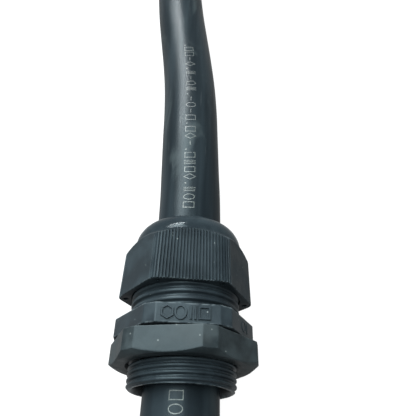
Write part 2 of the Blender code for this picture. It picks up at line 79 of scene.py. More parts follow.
# Threads: crest and root radius, pitch, and where the helix starts.
Thread = namedtuple("Thread", "crest root pitch start")
ENTRY = Thread(0.0150, 0.01424, 0.0254 / 16, -0.0160)
UPPER = Thread(0.0160, 0.0151, 0.0022, 0.0026)
NECK_R = 0.01414
ENTRY_LEAD = 0.0007         # chamfer on the entry thread's end
ENTRY_TAIL = -0.0011        # where the entry thread runs out into the neck
BORE_R = 0.0126
RIM_R = 0.0135
CUP_R = 0.0142
CUP_FLOOR = 0.0060
POCKET_R = 0.01685          # pocket of the O-ring, under the collar
POCKET_DEPTH = 0.0015

# Hexagons with cut corners: distance to the sides, to the cut corners, and the turn.
Hexagon = namedtuple("Hexagon", "side corner phase")
COLLAR = Hexagon(0.018119, 0.019878, radians(12.7))
COLLAR_HEIGHT = 0.0054
COLLAR_LOWER_EDGE = 0.00028
COLLAR_UPPER_EDGE = 0.00035
PANEL_REACH = 0.0071        # half the sunk panel's width
PANEL_MARGIN = 0.00085      # what is left of the side above and below it
PANEL_DEPTH = 0.00050
LOCK = Hexagon(0.01921, 0.02101, radians(-2.0))
LOCK_CORNER_R = 0.02111
LOCK_CONE_EDGE = -0.00625   # where the chamfer meets the corners
LOCK_CONE_SLOPE = 0.577
LOCK_FOOT_R = 0.0184        # where the chamfer runs out on the lower face
LOCK_MOUTH = 0.0009         # the threaded hole's mouths are wider than the thread
LOCK_EDGE = 0.00022
CORNER_SOFT = 0.00012       # how far a hexagon's corners are rounded
CORNER_WEAR = 0.2

NUT_PHASE = radians(13.4)
NUT_SIDE_R = 0.0178         # at the bottom
NUT_SHOULDER_R = 0.0174     # and at the shoulder, because the sides have a draft
NUT_CORNER_ROUND = 0.0036
NUT_SHOULDER = 0.0280       # the chamfer's edge in the middle of a side
NUT_CORNER_EDGE = 0.0262    # the chamfer's edge at a corner
RIB_DEPTH = 0.00050
RIBS_ON_SIDE = 18
RIBS_ON_CORNER = 4
RIB_POINTS = 10
NUT_ENTRY_R = 0.0163        # the nut's open lower end
MOUTH_R = 0.0108            # the dome's opening
LIP_R = 0.01115
DOME_BASE_R = 0.01686
NUT_CAVITY_R = 0.0157       # the hollow above the thread, where the claw sits
NUT_HOLE_R = 0.00085
NUT_HOLE_AT = 0.0179
NUT_HOLE_DEPTH = 0.0060

O_RING_R = 0.0159
O_RING_WIRE = 0.00066
O_RING_AT = 0.0005
CLAW_FINGERS = 12

CABLE_R = 0.01045
TAPE_R = 0.0083
FILLER_R = 0.0076
CORE_R = 0.00305
CORE_OFFSET = 0.0034
CORE_LENGTH = 0.0160
WIRE_R = 0.00185
WIRE_LENGTH = 0.0080
DENT_DEPTH = 0.00005        # how far the sheath's surface wanders

# The cable's middle line, as the CAD model lays it.
LYING = CABLE_R
AXIS_Z = SEAT.z
OUTER_ROUTE = [
    (0.0, 0.0010, AXIS_Z),
    (0.0, 0.0190, AXIS_Z),
    (-0.0002, 0.0370, AXIS_Z),
    (-0.0006, 0.0490, AXIS_Z + 0.0005),
    (-0.0010, 0.0640, AXIS_Z + 0.0015),
    (-0.0015, 0.0790, AXIS_Z + 0.0020),
    (-0.0025, 0.0940, AXIS_Z + 0.0022),
    (-0.0041, 0.1090, AXIS_Z + 0.0028),
    (-0.0060, 0.1240, AXIS_Z + 0.0038),
    (-0.0078, 0.1390, AXIS_Z + 0.0050),
    (-0.0092, 0.1540, AXIS_Z + 0.0060),
    (-0.0103, 0.1690, AXIS_Z + 0.0064),
    (-0.0113, 0.1840, AXIS_Z + 0.0057),
    (-0.0121, 0.1990, AXIS_Z + 0.0038),
    (-0.0126, 0.2140, AXIS_Z + 0.0010),
    (-0.0130, 0.2290, AXIS_Z - 0.0024),
    (-0.0133, 0.2440, AXIS_Z - 0.0056),
    (-0.0135, 0.2590, LYING + 0.0013),
    (-0.0136, 0.2740, LYING + 0.0003),
    (-0.0137, 0.2890, LYING),
]
INNER_ROUTE = [
    (0.0, 0.0007, AXIS_Z),
    (0.0, -0.0200, AXIS_Z),
    (0.0, -0.0410, AXIS_Z),
    (0.0002, -0.0560, AXIS_Z - 0.0010),
    (0.0006, -0.0710, AXIS_Z - 0.0032),
    (0.0012, -0.0860, AXIS_Z - 0.0059),
    (0.0020, -0.1010, AXIS_Z - 0.0081),
    (0.0029, -0.1160, LYING),
    (0.0039, -0.1300, LYING),
]

BODY = "body_and_cable"


# ---- camera ----
def make_camera():
    """Looks down on the gland from in front of the entry thread, a little from the right."""
    lens = bpy.data.cameras.new("camera")
    lens.sensor_width = 36.0
    lens.lens = 36.08
    lens.clip_start = 0.01
    lens.clip_end = 20.0
    camera = bpy.data.objects.new("camera", lens)
    bpy.context.scene.collection.objects.link(camera)
    side_turn = Matrix.Rotation(radians(6.57), 4, "Y")
    stand = Matrix.Translation((0.00757, -0.03260, 0.12124))
    yaw = Matrix.Rotation(radians(1.08), 4, "Z")
    tilt = Matrix.Rotation(radians(90 - 56.96), 4, "X")
    camera.matrix_world = Matrix.Translation(SEAT) @ side_turn @ stand @ yaw @ tilt
    bpy.context.scene.camera = camera


# ---- material helpers ----
def new_material(name, roughness, metallic=0.0):
    made = bpy.data.materials.new(name)
    made.use_nodes = True
    shader = made.node_tree.nodes["Principled BSDF"]
    shader.inputs["Roughness"].default_value = roughness
    shader.inputs["Metallic"].default_value = metallic
    return made, made.node_tree, shader


def add_node(tree, kind, inputs, **settings):
    """A shader node with its settings, and with each named input linked or set."""
    made = tree.nodes.new("ShaderNode" + kind)
    for key, value in settings.items():
        setattr(made, key, value)
    for key, value in inputs.items():
        if isinstance(value, bpy.types.NodeSocket):
            tree.links.new(value, made.inputs[key])
        else:
            made.inputs[key].default_value = value
    return made


def surface_place(tree, stretch=(1.0, 1.0, 1.0)):
    """Object coordinates, drawn out along an axis where stretch is small."""
    where = add_node(tree, "TexCoord", {})
    return add_node(tree, "Mapping",
                    {"Vector": where.outputs["Object"], "Scale": stretch}).outputs["Vector"]


def cloud(tree, place, scale, detail=3.0, roughness=0.5, distortion=0.0):
    return add_node(tree, "TexNoise", {
        "Vector": place, "Scale": scale, "Detail": detail,
        "Roughness": roughness, "Distortion": distortion}).outputs["Fac"]


def between(tree, value, low, high, to_low=0.0, to_high=1.0):
    """value from low to high becomes to_low to to_high, and is clamped outside them."""
    return add_node(tree, "MapRange", {
        "Value": value, "From Min": low, "From Max": high,
        "To Min": to_low, "To Max": to_high}, interpolation_type="SMOOTHSTEP").outputs["Result"]


def arithmetic(tree, operation, a, b):
    made = add_node(tree, "Math", {}, operation=operation)
    for slot, value in zip(made.inputs, (a, b)):
        if isinstance(value, bpy.types.NodeSocket):
            tree.links.new(value, slot)
        else:
            slot.default_value = value
    return made.outputs["Value"]


def blend_colour(tree, share, a, b):
    made = add_node(tree, "Mix", {}, data_type="RGBA")
    for slot, value in ((made.inputs[0], share), (made.inputs[6], a), (made.inputs[7], b)):
        if isinstance(value, bpy.types.NodeSocket):
            tree.links.new(value, slot)
        elif isinstance(value, float):
            slot.default_value = value
        else:
            slot.default_value = (*value, 1.0)
    return made.outputs[2]


def attribute(tree, name):
    return add_node(tree, "Attribute", {}, attribute_name=name).outputs["Fac"]


def specks(tree, place, scale, size):
    """Small scattered dots, 1 inside a dot and 0 elsewhere."""
    cells = add_node(tree, "TexVoronoi", {"Vector": place, "Scale": scale})
    dots = between(tree, cells.outputs["Distance"], size * 0.5, size, 1.0, 0.0)
    chosen = add_node(tree, "SeparateColor", {"Color": cells.outputs["Color"]})
    few = between(tree, chosen.outputs["Red"], 0.86, 0.90)
    return arithmetic(tree, "MULTIPLY", dots, few)


def feed(shader, name, source):
    """Links a node's output to one of the shader's inputs."""
    shader.id_data.links.new(source, shader.inputs[name])


def over(tree, colour, mask, low, high, share, paint):
    """Paints over a colour where the mask is high, up to a share of the paint."""
    return blend_colour(tree, between(tree, mask, low, high, 0.0, share), colour, paint)


def bump(tree, shader, height, distance, strength):
    made = add_node(tree, "Bump", {"Height": height, "Distance": distance, "Strength": strength})
    feed(shader, "Normal", made.outputs["Normal"])


# ---- materials ----
def nylon(name, dark, light, rough, glossy_rough, grain=0.000018, warm=0.0, specular=0.09):
    """Moulded nylon: a spark-eroded grain, cloudy patches, pale worn edges and dust.
    Glossy_rough is where the mesh's gloss is 1. Warm is the share of browner patches."""
    made, tree, shader = new_material(name, rough)
    place = surface_place(tree)
    fine = cloud(tree, place, 5200.0, 2.0)
    medium = cloud(tree, place, 900.0, 3.0)
    wide = cloud(tree, place, 130.0, 3.0, 0.55)
    worn = arithmetic(tree, "MULTIPLY", attribute(tree, "wear"), between(tree, medium, 0.35, 0.62))
    dust = specks(tree, place, 680.0, 0.17)
    colour = blend_colour(tree, between(tree, wide, 0.35, 0.68), dark, light)
    if warm:
        colour = over(tree, colour, cloud(tree, place, 85.0, 2.0), 0.52, 0.70, warm, (0.020, 0.016, 0.013))
    colour = over(tree, colour, fine, 0.30, 0.75, 0.30, light)
    colour = over(tree, colour, worn, 0.0, 1.0, 0.55, (0.06, 0.070, 0.074))
    colour = over(tree, colour, dust, 0.0, 1.0, 0.55, (0.12, 0.13, 0.125))
    feed(shader, "Base Color", colour)
    gloss = attribute(tree, "gloss")
    rough_matte = between(tree, wide, 0.34, 0.66, rough - 0.07, rough + 0.09)
    rough_shine = between(tree, medium, 0.30, 0.70, glossy_rough - 0.03, glossy_rough + 0.05)
    drop = arithmetic(tree, "MULTIPLY", gloss, arithmetic(tree, "SUBTRACT", rough_shine, rough_matte))
    feed(shader, "Roughness", arithmetic(tree, "ADD", rough_matte, drop))
    shader.inputs["Specular IOR Level"].default_value = specular
    shader.inputs["Specular Tint"].default_value = (0.80, 0.95, 1.0, 1.0)
    matte_share = between(tree, gloss, 0.0, 1.0, 1.0, 0.10)
    grained = arithmetic(tree, "MULTIPLY", fine, matte_share)
    waves = arithmetic(tree, "MULTIPLY", medium, arithmetic(tree, "MULTIPLY", matte_share, 0.8))
    height = arithmetic(tree, "ADD", grained, waves)
    bump(tree, shader, height, grain, 0.55)
    return made


def sheath():
    """Rubber sheath: drawn-out streaks, scuffs and smears, and a few pale specks."""
    made, tree, shader = new_material("cable_sheath_rubber", 0.40)
    place = surface_place(tree)
    drawn = surface_place(tree, (1.0, 0.045, 1.0))
    streaks = cloud(tree, drawn, 900.0, 3.0, 0.6)
    bands = cloud(tree, drawn, 260.0, 2.0, 0.5)
    smears = cloud(tree, surface_place(tree, (1.0, 0.30, 1.0)), 95.0, 3.0, 0.55, 0.8)
    fine = cloud(tree, place, 2600.0, 3.0, 0.6)
    colour = blend_colour(tree, between(tree, bands, 0.30, 0.70),
                          (0.0040, 0.0056, 0.0068), (0.0085, 0.0115, 0.0135))
    colour = over(tree, colour, smears, 0.55, 0.68, 0.45, (0.024, 0.030, 0.031))
    colour = over(tree, colour, streaks, 0.62, 0.74, 0.22, (0.034, 0.039, 0.040))
    colour = over(tree, colour, specks(tree, place, 260.0, 0.08), 0.0, 1.0, 0.75, (0.14, 0.16, 0.14))
    feed(shader, "Base Color", colour)
    rough = arithmetic(tree, "ADD", between(tree, streaks, 0.25, 0.75, 0.29, 0.39),
                       between(tree, smears, 0.50, 0.72, 0.0, 0.10))
    feed(shader, "Roughness", rough)
    shader.inputs["Specular IOR Level"].default_value = 0.055
    shader.inputs["Specular Tint"].default_value = (0.80, 0.95, 1.0, 1.0)
    height = arithmetic(tree, "ADD", arithmetic(tree, "MULTIPLY", streaks, 1.2), fine)
    bump(tree, shader, height, 0.000022, 0.5)
    return made


def rubber(name, colour, rough=0.55):
    """Plain seal rubber with a bloomed, faintly pitted skin."""
    made, tree, shader = new_material(name, rough)
    place = surface_place(tree)
    pits = cloud(tree, place, 3000.0, 3.0)
    bloom = cloud(tree, place, 210.0, 3.0)
    paler = tuple(part * 2.2 for part in colour)
    feed(shader, "Base Color", blend_colour(tree, between(tree, bloom, 0.40, 0.72), colour, paler))
    feed(shader, "Roughness", between(tree, pits, 0.3, 0.7, rough - 0.08, rough + 0.08))
    bump(tree, shader, pits, 0.00002, 0.5)
    return made


def ink():
    """Pale print on the sheath, worn thin in places and fainter away from the gland."""
    made, tree, shader = new_material("sheath_print_ink", 0.55)
    patchy = cloud(tree, surface_place(tree), 1500.0, 3.0, 0.6)
    colour = blend_colour(tree, between(tree, patchy, 0.38, 0.62),
                          (0.009, 0.013, 0.012), (0.024, 0.032, 0.025))
    along = add_node(tree, "SeparateXYZ", {"Vector": surface_place(tree)}).outputs["Y"]
    colour = over(tree, colour, along, 0.038, 0.075, 0.75, (0.0085, 0.0115, 0.0110))
    feed(shader, "Base Color", colour)
    feed(shader, "Roughness", between(tree, patchy, 0.3, 0.7, 0.65, 0.50))
    return made


def tape():
    """Woven cotton binder: over and under threads, with loose fibres."""
    made, tree, shader = new_material("binder_tape_cotton", 0.85)
    place = surface_place(tree)
    warp, weft = (add_node(tree, "TexWave", {"Vector": place, "Scale": 520.0, "Distortion": 0.6},
                           bands_direction=way).outputs["Fac"] for way in "YZ")
    weave = arithmetic(tree, "MULTIPLY", warp, weft)
    fibres = cloud(tree, place, 2600.0, 4.0, 0.7)
    colour = blend_colour(tree, weave, (0.30, 0.27, 0.20), (0.62, 0.58, 0.47))
    colour = over(tree, colour, fibres, 0.45, 0.75, 0.4, (0.75, 0.71, 0.60))
    feed(shader, "Base Color", colour)
    feed(shader, "Roughness", between(tree, fibres, 0.3, 0.7, 0.80, 0.92))
    bump(tree, shader, arithmetic(tree, "ADD", weave, fibres), 0.00012, 0.7)
    return made


def insulation(name, colour, mark):
    """Extruded core insulation, smooth along its length, with a few handling marks."""
    made, tree, shader = new_material(name, 0.36)
    lines = cloud(tree, surface_place(tree, (1.0, 0.06, 1.0)), 1400.0, 2.0)
    marks = cloud(tree, surface_place(tree), 420.0, 3.0, 0.6)
    feed(shader, "Base Color", over(tree, colour, marks, 0.52, 0.72, 0.6, mark))
    feed(shader, "Roughness", between(tree, lines, 0.3, 0.7, 0.30, 0.44))
    bump(tree, shader, lines, 0.000012, 0.5)
    return made


def copper():
    """Bare copper strands, brighter where they rub and browner in between."""
    made, tree, shader = new_material("strand_copper", 0.30, 1.0)
    tarnish = cloud(tree, surface_place(tree), 900.0, 4.0, 0.6)
    feed(shader, "Base Color", blend_colour(tree, between(tree, tarnish, 0.42, 0.68),
                                            (0.86, 0.44, 0.27), (0.50, 0.22, 0.12)))
    feed(shader, "Roughness", between(tree, tarnish, 0.35, 0.70, 0.22, 0.45))
    bump(tree, shader, tarnish, 0.00001, 0.4)
    return made


def make_materials():
    return {
        "body": nylon("body_satin_nylon", (0.0060, 0.0080, 0.0096), (0.0122, 0.0162, 0.0186), 0.40, 0.26),
        "lock": nylon("lock_nut_matte_nylon", (0.0050, 0.0068, 0.0076), (0.0165, 0.0208, 0.0222), 0.46,
                      0.34, 0.000024, 0.12),
        "nut": nylon("sealing_nut_nylon", (0.0060, 0.0082, 0.0098), (0.0118, 0.0158, 0.0182), 0.48, 0.14,
                     0.000028, specular=0.06),
        "claw": nylon("claw_grey_nylon", (0.020, 0.023, 0.026), (0.034, 0.038, 0.042), 0.42, 0.30),
        "sheath": sheath(),
        "seal": rubber("seal_nitrile", (0.013, 0.014, 0.015)),
        "sleeve": rubber("sleeve_neoprene", (0.016, 0.017, 0.018), 0.60),
        "filler": rubber("filler_compound", (0.045, 0.043, 0.040), 0.75),
        "ink": ink(),
        "tape": tape(),
        "core_black": insulation("core_black_insulation", (0.014, 0.014, 0.015), (0.05, 0.05, 0.05)),
        "core_white": insulation("core_white_insulation", (0.72, 0.71, 0.66), (0.56, 0.53, 0.46)),
        "copper": copper(),
    }


# ---- mesh helpers ----
def smooth(value, low, high):
    """0 below low, 1 above high, and a smooth step between them."""
    part = min(1.0, max(0.0, (value - low) / (high - low)))
    return part * part * (3 - 2 * part)


def spot(angle, radius, along):
    """The point at an angle and a distance from the gland's axis, and a place along it."""
    return Vector((radius * sin(angle), SEAT.y + along, SEAT.z + radius * cos(angle)))


# One ring of points: (radius, along) for each angle, or one pair for a round ring, how
# worn it is, and how glossy.
Ring = namedtuple("Ring", "points wear gloss", defaults=(0.0, 0.0))


def round_ring(radius, along, wear=0.0, gloss=0.0):
    return Ring([(radius, along)], wear, gloss)


def finish_mesh(obj, material, sharp=40.0):
    obj.data.shade_smooth()
    obj.data.set_sharp_from_angle(angle=radians(sharp))
    obj.data.materials.append(material)
    bpy.context.scene.collection.objects.link(obj)
    return obj


def mesh_object(name, points, faces):
    """A mesh object whose faces point out."""
    mesh = bpy.data.meshes.new(name)
    mesh.from_pydata(points, [], faces)
    bm = bmesh.new()
    bm.from_mesh(mesh)
    bmesh.ops.recalc_face_normals(bm, faces=bm.faces)
    bm.to_mesh(mesh)
    bm.free()
    return bpy.data.objects.new(name, mesh)


def quad_rows(rows, count, closed=False, first=0):
    """Faces between rows of points. Each row is a ring of count points, and closed joins
    the last row to the first."""
    faces = []
    for row in range(rows if closed else rows - 1):
        here, there = first + row * count, first + (row + 1) % rows * count
        for k in range(count):
            other = (k + 1) % count
            faces.append((here + k, here + other, there + other, there + k))
    return faces


def ring_solid(name, angles, rings, material, column_wear=None):
    """A closed solid round the gland's axis. The rings run along its outside and back
    along its inside, and the last one joins the first."""
    count = len(angles)
    points = [spot(angle, *pair) for ring in rings
              for angle, pair in zip(angles, ring.points * (count if len(ring.points) == 1 else 1))]
    obj = mesh_object(name, points, quad_rows(len(rings), count, closed=True))
    column_wear = column_wear or [0.0] * count
    wear = [max(ring.wear, edge * CORNER_WEAR) for ring in rings for edge in column_wear]
    gloss = [ring.gloss for ring in rings for _ in angles]
    for label, values in (("wear", wear), ("gloss", gloss)):
        obj.data.attributes.new(label, "FLOAT", "POINT").data.foreach_set("value", values)
    return finish_mesh(obj, material)


def even_angles(count, extra=(), clear=0.006):
    """Angles all the way round, with extra ones that push the nearest even ones out."""
    extra = [angle % tau for angle in extra]
    even = [tau * step / count for step in range(count)]
    kept = [a for a in even if all(abs((a - e + pi) % tau - pi) > clear for e in extra)]
    return sorted(kept + extra)


def thread_height(part):
    """A thread's height over one pitch, from 0 in the groove to 1 on its round crest."""
    flank = min(smooth(part, 0.13, 0.42), 1 - smooth(part, 0.73, 1.0))
    crown = 1 - 0.22 * ((part - 0.575) / 0.30) ** 2
    return flank * max(0.6, crown)


def thread_radius(thread, angle, along, grow=0.0):
    """A right-hand thread's radius at a place. Grow makes room for the mating thread."""
    part = ((along - thread.start) / thread.pitch - (angle - pi / 2) / tau) % 1.0
    return thread.root + grow + (thread.crest - thread.root) * thread_height(part)


def hexagon_radius(hexagon, angle, inset=0.0):
    """Distance from the axis to a cut hexagon's outline, with soft corners."""
    to_side = (angle - hexagon.phase + radians(30)) % radians(60) - radians(30)
    to_corner = (angle - hexagon.phase) % radians(60) - radians(30)
    side = (hexagon.side - inset) / cos(to_side)
    corner = (hexagon.corner - inset) / cos(to_corner)
    near = max(CORNER_SOFT - abs(side - corner), 0.0) / CORNER_SOFT
    return min(side, corner) - near * near * CORNER_SOFT / 4


def hexagon_corners(hexagon):
    """The angles of a cut hexagon's twelve corners."""
    half = next(step / 100 for step in range(0, 1500)
                if hexagon.side / cos(radians(30 - step / 100)) < hexagon.corner / cos(radians(step / 100)))
    middles = [hexagon.phase + radians(30 + 60 * side) for side in range(6)]
    return [middle + way * radians(half) for middle in middles for way in (-1, 1)]


def corner_columns(corners, offsets=(-0.9, -0.4, 0.0, 0.4, 0.9)):
    return [corner + radians(offset) for corner in corners for offset in offsets]


def corner_wear(angles, corners):
    return [max(exp(-((((a - c + pi) % tau - pi) / radians(0.6)) ** 2)) for c in corners) for a in angles]


def rounded_edge(outline, face, way, size, steps=4, wear=0.7):
    """Rings that turn from a face into the sides. Way is +1 where the sides lie above."""
    rings = []
    for step in range(steps + 1):
        swing = pi / 2 * step / steps
        along = face + way * size * (1 - cos(swing))
        rings.append(Ring([(r, along) for r in outline(size * (1 - sin(swing)))], wear, 0.0))
    return rings


def quarter_oval(low, high, steps):
    """(radius, along) pairs on a quarter of an oval, from its base to its top."""
    swings = [pi / 2 * step / steps for step in range(steps + 1)]
    return [(high[0] + (low[0] - high[0]) * cos(a), low[1] + (high[1] - low[1]) * sin(a))
            for a in swings]


def stepped(start, end, spacing):
    """Evenly spaced values from start to end, both of them included."""
    count = max(1, ceil(abs(end - start) / spacing))
    return [start + (end - start) * step / count for step in range(count + 1)]


# ---- the body ----
PARTING = (radians(41), radians(221))   # where the mould's halves met


def parting_ridge(angle):
    near = min(abs((angle - line + pi) % tau - pi) for line in PARTING)
    return 0.00007 * exp(-((near / radians(0.5)) ** 2))


def collar_panel(angle, along):
    """Depth of the shallow panel that is sunk into one of the collar's sides."""
    across = COLLAR.side * tan(max(-0.6, min(0.6, angle - COLLAR.phase + radians(60))))
    inside = smooth(PANEL_REACH - abs(across), 0.0, 0.0002)
    rim = smooth(COLLAR_HEIGHT / 2 - PANEL_MARGIN - abs(along - COLLAR_HEIGHT / 2), 0.0, 0.0002)
    return PANEL_DEPTH * inside * rim


def make_body(materials):
    """The collar, both threads and the bore, as one moulding."""
    corners = hexagon_corners(COLLAR)
    panel_ends = [COLLAR.phase - radians(60) + way * atan2(offset, COLLAR.side)
                  for way in (-1, 1) for offset in (0.00688, 0.0070, 0.00712)]
    lines = [line + radians(offset) for line in PARTING for offset in (-0.8, -0.35, 0, 0.35, 0.8)]
    angles = even_angles(264, corner_columns(corners) + panel_ends + lines)

    def outline(inset):
        return [hexagon_radius(COLLAR, angle, inset) for angle in angles]

    def entry_row(along):
        lead = ENTRY.crest - ENTRY_LEAD + (along - ENTRY_END)
        tail = NECK_R + max(0.0, ENTRY_TAIL - along) * 1.5
        rough = 0.00003 * noise.noise(Vector((along * 900, 7.0, 0.0)))
        return Ring([(min(thread_radius(ENTRY, a, along) + parting_ridge(a), lead, tail) + rough, along)
                     for a in angles], 0.10, 0.40)

    def upper_row(along):
        lead = UPPER.root + (UPPER_TOP - along) * 0.95
        return Ring([(min(thread_radius(UPPER, a, along) + parting_ridge(a), lead), along)
                     for a in angles], 0.10, 0.40)

    def rim_ring(radius, lift):
        return Ring([(radius, ENTRY_END + lift + 0.00004 * noise.noise(Vector((9 * sin(a), 9 * cos(a), 3))))
                     for a in angles], 1.0, 0.6)

    rings = [rim_ring(RIM_R, 0.0001), rim_ring(RIM_R + 0.00015, 0.0), rim_ring(0.0141, 0.0),
             rim_ring(0.01428, 0.00006)]
    rings += [entry_row(along) for along in stepped(ENTRY_END + 0.0002, ENTRY_TAIL, 0.00011)]
    rings += [round_ring(NECK_R, along) for along in (-0.0008, 0.0002, POCKET_DEPTH - 0.0003)]
    rings += [round_ring(NECK_R + 0.0002, POCKET_DEPTH), round_ring(POCKET_R - 0.0002, POCKET_DEPTH),
              round_ring(POCKET_R, POCKET_DEPTH - 0.0002),
              round_ring(POCKET_R, 0.00012, 0.4), round_ring(POCKET_R + 0.00012, 0.0, 0.4)]
    rings += rounded_edge(outline, 0.0, 1, COLLAR_LOWER_EDGE)
    for along in stepped(0.00045, COLLAR_HEIGHT - 0.00055, 0.00016):
        rings.append(Ring([(r - collar_panel(a, along), along) for a, r in zip(angles, outline(0.0))],
                          0.0, 0.15))
    rings += rounded_edge(outline, COLLAR_HEIGHT, -1, COLLAR_UPPER_EDGE)[::-1]
    rings += [round_ring(UPPER.crest + 0.0006, COLLAR_HEIGHT),
              round_ring(UPPER.crest + 0.0001, COLLAR_HEIGHT + 0.00003)]
    rings += [upper_row(along) for along in stepped(COLLAR_HEIGHT + 0.00015, UPPER_TOP, 0.00012)]
    rings += [round_ring(CUP_R + 0.0002, UPPER_TOP, 0.5, 0.4),
              round_ring(CUP_R, UPPER_TOP - 0.0002, 0.5, 0.4)]
    rings += [round_ring(CUP_R, along) for along in stepped(UPPER_TOP - 0.0006, CUP_FLOOR, 0.002)]
    rings += [round_ring(BORE_R, CUP_FLOOR - 0.0008), round_ring(BORE_R, 0.0),
              round_ring(BORE_R, -0.0060), round_ring(BORE_R, ENTRY_END + 0.0012)]
    return ring_solid("moulded_body", angles, rings, materials["body"], corner_wear(angles, corners))


# ---- raised and printed line work ----
def stroke(line, width, closed, section, lay):
    """Points and faces of a raised line. Line is a list of (across, along). Section
    holds (share of half the width, height), and lay turns (across, along, height)
    into a point."""
    count = len(line)
    points = []
    for index, (x, y) in enumerate(line):
        before = line[index - 1] if closed or index else line[index]
        after = line[(index + 1) % count] if closed or index < count - 1 else line[index]
        dx, dy = after[0] - before[0], after[1] - before[1]
        size = hypot(dx, dy)
        side = (-dy / size, dx / size)
        stretch = 1.0
        if closed or 0 < index < count - 1:
            first = (x - before[0], y - before[1])
            turn = abs(first[0] * side[1] - first[1] * side[0]) / (hypot(*first) or 1.0)
            stretch = 1.0 / max(0.5, turn)
        for share, height in section:
            reach = share * width / 2 * stretch
            points.append(lay(x + side[0] * reach, y + side[1] * reach, height))
    size = len(section)
    faces = quad_rows(count, size, closed)
    if not closed:
        faces += [tuple(range(size)), tuple(range((count - 1) * size, count * size))]
    return points, faces


def ring_line(x, y, half_wide, half_tall, steps=24, turn=0.0):
    return [(x + half_wide * cos(tau * k / steps + turn), y + half_tall * sin(tau * k / steps + turn))
            for k in range(steps)]


def polygon_line(x, y, half_wide, half_tall, sides, turn=0.0):
    """A closed polygon whose sides are split in three, so that it bends with its surface."""
    corners = ring_line(x, y, half_wide, half_tall, sides, turn)
    line = []
    for (ax, ay), (bx, by) in zip(corners, corners[1:] + corners[:1]):
        line += [(ax + (bx - ax) * part, ay + (by - ay) * part) for part in (0.0, 0.06, 0.5, 0.94)]
    return line


def bar_line(x, y, half_tall, steps=4):
    """A straight line across the row of marks."""
    return [(x, y + half_tall * (2 * k / steps - 1)) for k in range(steps + 1)]


def line_work(name, strokes, width, section, lay, material):
    """All the strokes in one object. Each is (line, closed)."""
    points, faces = [], []
    for line, closed in strokes:
        new_points, new_faces = stroke(line, width, closed, section, lay)
        faces += [tuple(len(points) + index for index in face) for face in new_faces]
        points += new_points
    return finish_mesh(mesh_object(name, points, faces), material)


def on_collar(side):
    """Lays (across, along, height) on one side of the collar."""
    turn = COLLAR.phase + radians(60 * side)

    def lay(across, along, height):
        reach = COLLAR.side + height
        return spot(turn + atan2(across, reach), hypot(across, reach), along)
    return lay


def make_collar_marks(materials):
    """Plain raised shapes where a size would be moulded, and a faint one further round."""
    high = 0.00040
    section = [(-1, -0.0002), (-1, high - 0.0001), (-0.72, high), (0.72, high), (1, high - 0.0001),
               (1, -0.0002)]
    middle = COLLAR_HEIGHT / 2 + 0.0001
    strokes = [
        (polygon_line(-0.0054, middle, 0.0016, 0.0017, 6, radians(30)), True),
        (ring_line(-0.0020, middle, 0.0014, 0.0017, 32), True),
        (bar_line(0.0006, middle, 0.0018), False),
        (bar_line(0.0018, middle, 0.0018), False),
        (polygon_line(0.0041, middle, 0.0019, 0.0021, 4, radians(45)), True),
    ]
    front = line_work("collar_front_marks", strokes, 0.00058, section, on_collar(0), materials["body"])
    faint = [(share, -0.0002 if height < 0 else height * 0.35) for share, height in section]
    strokes = [(ring_line(0.0005, middle, 0.0014, 0.0014, 28), True),
               (bar_line(0.0030, middle, 0.0014), False)]
    right = line_work("collar_side_marks", strokes, 0.00035, faint, on_collar(1), materials["body"])
    return [front, right]


# ---- the lock nut ----
def make_lock_nut(materials):
    corners = hexagon_corners(LOCK)
    angles = even_angles(264, corner_columns(corners))
    wobble = [0.00006 * noise.noise(Vector((7 * sin(a), 7 * cos(a), 11))) for a in angles]

    def outline(inset):
        return [hexagon_radius(LOCK, angle, inset) for angle in angles]

    def cone(radius):
        return LOCK_CONE_EDGE + (radius - LOCK_CORNER_R) * LOCK_CONE_SLOPE

    def bottom_edge(inset, lift):
        return Ring([(r, cone(r + inset) + lift) for r in outline(inset)], 0.15, 0.0)

    def thread_row(along):
        return Ring([(thread_radius(ENTRY, a, along, GAP), along) for a in angles], 0.0, 0.5)

    sink_r = ENTRY.crest + LOCK_MOUTH
    top = rounded_edge(outline, LOCK_TOP, -1, LOCK_EDGE)
    top = [Ring([(r, along + bend * 0.8) for (r, along), bend in zip(ring.points, wobble)], 0.25, 0.0)
           for ring in top]
    rings = [round_ring(sink_r, LOCK_TOP, 0.3)] + top
    rings += [Ring([(r, LOCK_TOP - LOCK_EDGE + (cone(r) + 0.0002 - LOCK_TOP + LOCK_EDGE) * part)
                    for r in outline(0.0)], 0.0, 0.0) for part in (0.05, 0.25, 0.5, 0.75, 0.95)]
    rings += [bottom_edge(0.0, 0.00016), bottom_edge(0.00005, 0.00006), bottom_edge(0.00022, -0.00002)]
    for part in (0.0, 0.25, 0.5, 0.75, 0.97):
        inward = [r + (LOCK_FOOT_R - r) * part for r in outline(0.0005)]
        rings.append(Ring([(r, max(LOCK_LOW, cone(r))) for r in inward]))
    rings += [round_ring(LOCK_FOOT_R - 0.0001, LOCK_LOW, 0.3), round_ring(sink_r + 0.0006, LOCK_LOW),
              round_ring(sink_r + 0.00045, LOCK_LOW + 0.00012, 0.4),
              round_ring(sink_r, LOCK_LOW + 0.00012, 0.4)]
    rings += [thread_row(along) for along in stepped(LOCK_LOW + 0.0012, LOCK_TOP - 0.0012, 0.00014)]
    return ring_solid("hexagon_lock_nut", angles, rings, materials["lock"], corner_wear(angles, corners))


# ---- the sealing nut ----
def rib_groove(part):
    """Depth over one rib, from 0 on its crest to 1 in the groove beside it."""
    return smooth(part, 0.44, 0.66) - smooth(part, 0.78, 1.0)


